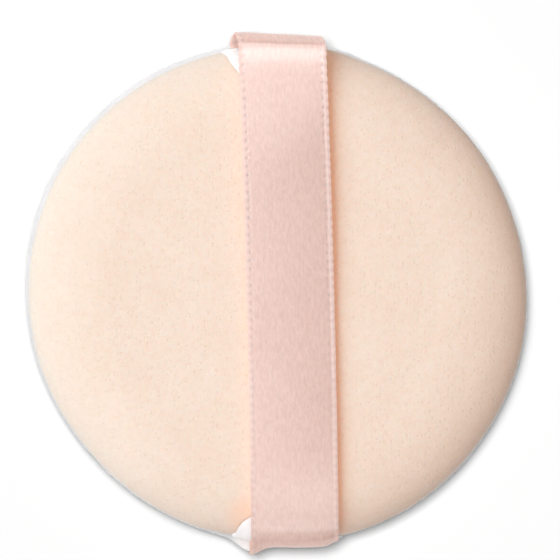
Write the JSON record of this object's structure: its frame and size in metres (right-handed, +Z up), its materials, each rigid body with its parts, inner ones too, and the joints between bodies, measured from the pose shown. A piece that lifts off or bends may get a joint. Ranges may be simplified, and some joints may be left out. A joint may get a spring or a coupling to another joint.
{
  "type": "powder puff",
  "caption": "Round cosmetic pad with a peach sponge face, a white velour underside and a pink satin ribbon across the sponge face as a finger strap.",
  "frame": {"origin": "centre of the velour face that the puff lies on", "axes": "+Z up through the sponge face, +Y along the ribbon to the end at the top of the picture, +X to the right of the ribbon"},
  "size_m": [0.057, 0.0606, 0.0095],
  "materials": {
    "sponge": "matte",
    "velour": "matte",
    "foam": "matte",
    "thread": "satin",
    "ribbon": "satin"
  },
  "bodies": {
    "pad": {"top_cover": "sponge", "bottom_cover": "velour", "foam_core": "foam", "needle_thread": "thread", "bobbin_thread": "thread", "ribbon_end_back": "ribbon", "ribbon_end_front": "ribbon"},
    "strap": {"ribbon_span": "ribbon"}
  },
  "joints": [
    {"name": "strap_lift", "type": "slide", "parent": "pad", "child": "strap", "axis": [0, 0, 1], "range_m": [0, 0.008], "stiffness_N_per_m": 5, "deforming": ["ribbon_end_back", "ribbon_end_front"]}
  ]
}
